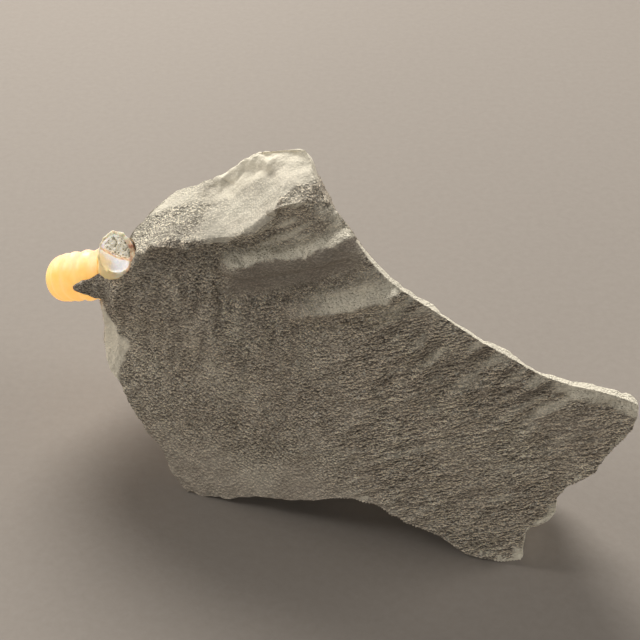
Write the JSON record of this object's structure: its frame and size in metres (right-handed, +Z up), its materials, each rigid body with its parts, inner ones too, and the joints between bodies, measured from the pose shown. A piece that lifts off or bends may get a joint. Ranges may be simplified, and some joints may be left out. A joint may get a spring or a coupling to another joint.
{
  "type": "fossil ammonite",
  "caption": "Loose wedge of dark limestone standing on its lower edge, with a small ribbed golden ammonite standing out of one end beside the broken, sediment-filled end of the shell.",
  "frame": {"origin": "middle of the whole object's footprint box, on the surface that it stands on", "axes": "+Z up, +X to the right along the stone's length as seen from the broad face, +Y away from the viewer"},
  "size_m": [0.0997, 0.0596, 0.0643],
  "materials": {
    "limestone": "rough, fractured, matt",
    "calcite": "translucent honey calcite, waxy gloss",
    "shell": "cream shell with a pearly inside",
    "sediment": "granular, matt"
  },
  "bodies": {
    "root": {"matrix_rock": "limestone", "ammonite_coil": "calcite", "shell_section": "shell", "chamber_fill": "sediment"}
  },
  "joints": []
}
